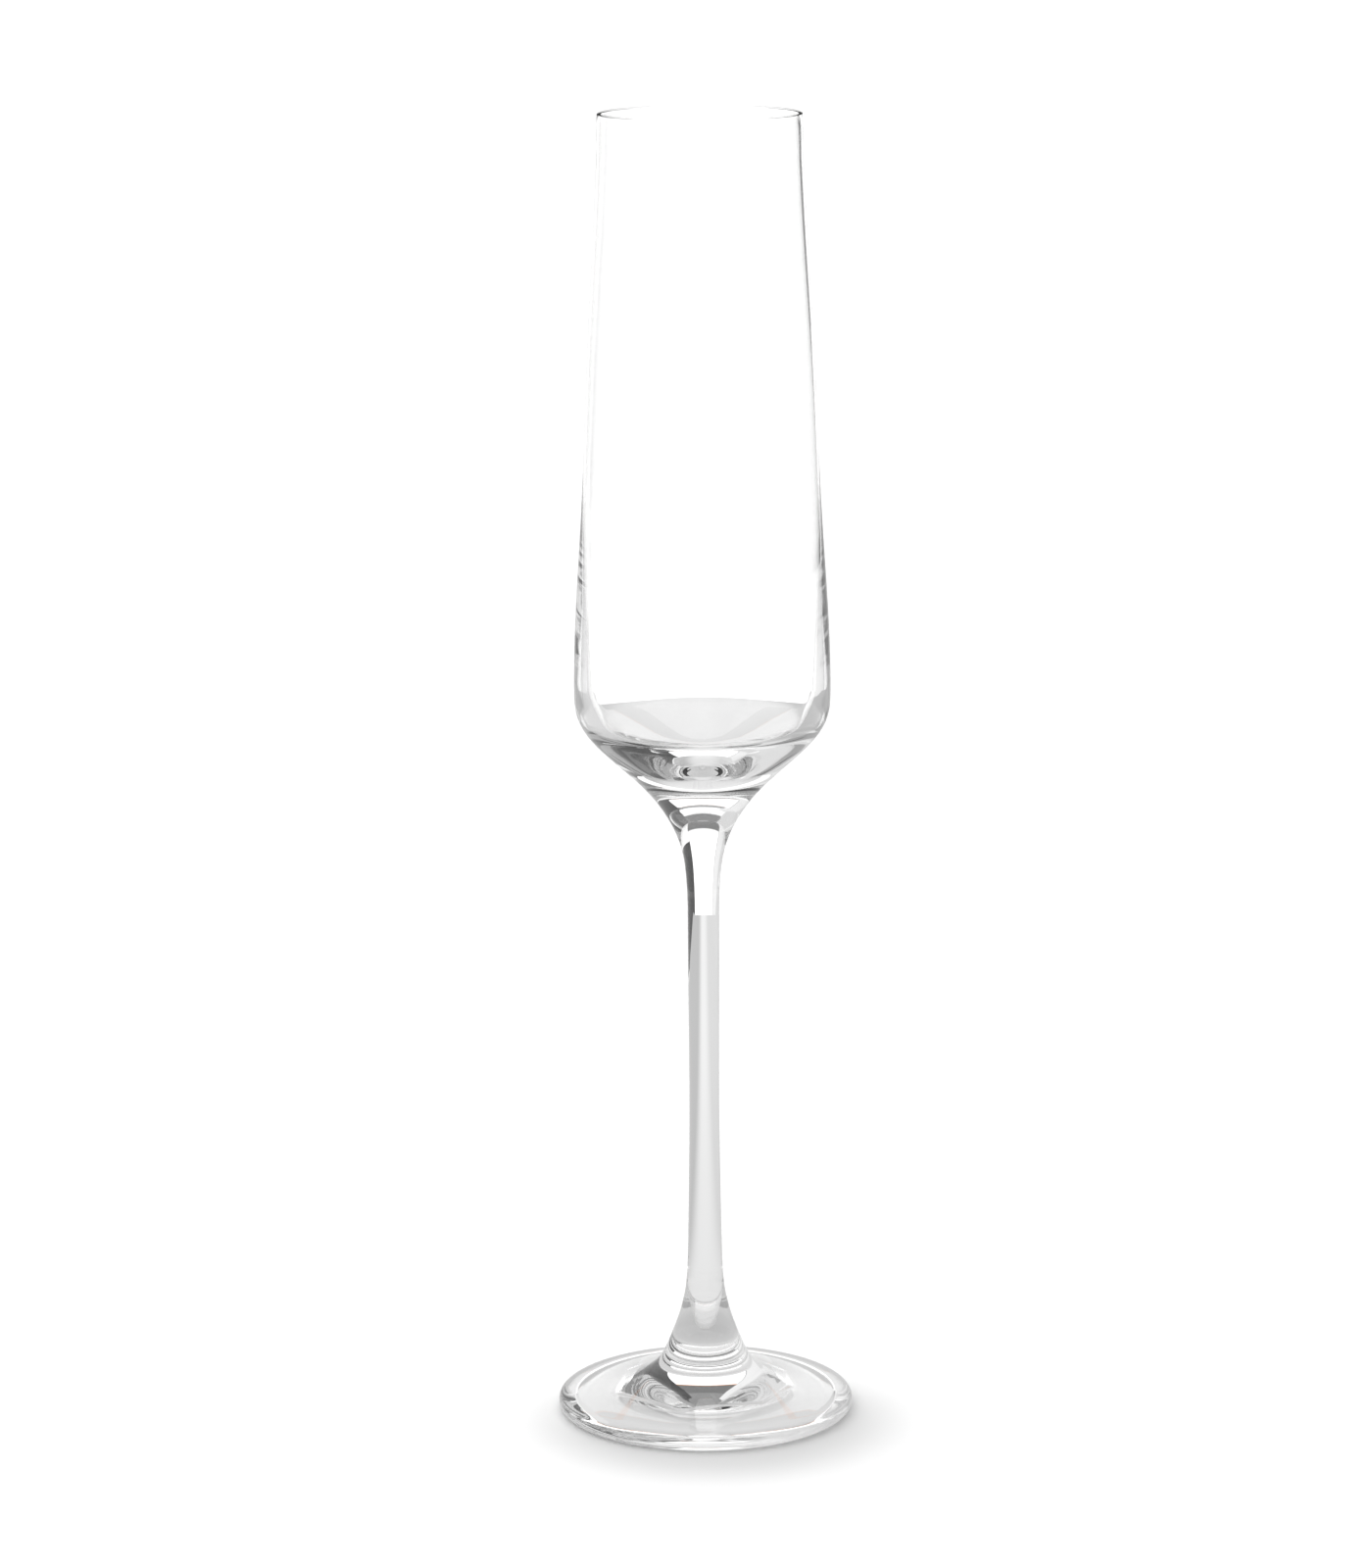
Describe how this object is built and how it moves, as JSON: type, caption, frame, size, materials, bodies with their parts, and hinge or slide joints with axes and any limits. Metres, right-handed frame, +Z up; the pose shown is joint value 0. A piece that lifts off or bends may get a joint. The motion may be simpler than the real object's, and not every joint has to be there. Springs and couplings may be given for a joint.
{
  "type": "champagne flute",
  "caption": "Tall stemmed glass for sparkling wine: narrow tapering bowl with a thick base, slim drawn stem and a wide flat foot.",
  "frame": {"origin": "centre of the resting plane under the foot, on the axis of revolution", "axes": "+Z up along the axis of revolution, from the foot to the rim; X and Y are any two square directions, because the glass is round"},
  "size_m": [0.0604, 0.0604, 0.265],
  "materials": {
    "bowl_glass": "clear blown glass with a fire-polished rim",
    "stem_glass": "clear drawn glass with faint lengthwise draw lines",
    "foot_glass": "clear pressed glass, slightly rippled near the centre"
  },
  "bodies": {
    "root": {"bowl": "bowl_glass", "stem": "stem_glass", "foot": "foot_glass"}
  },
  "joints": []
}
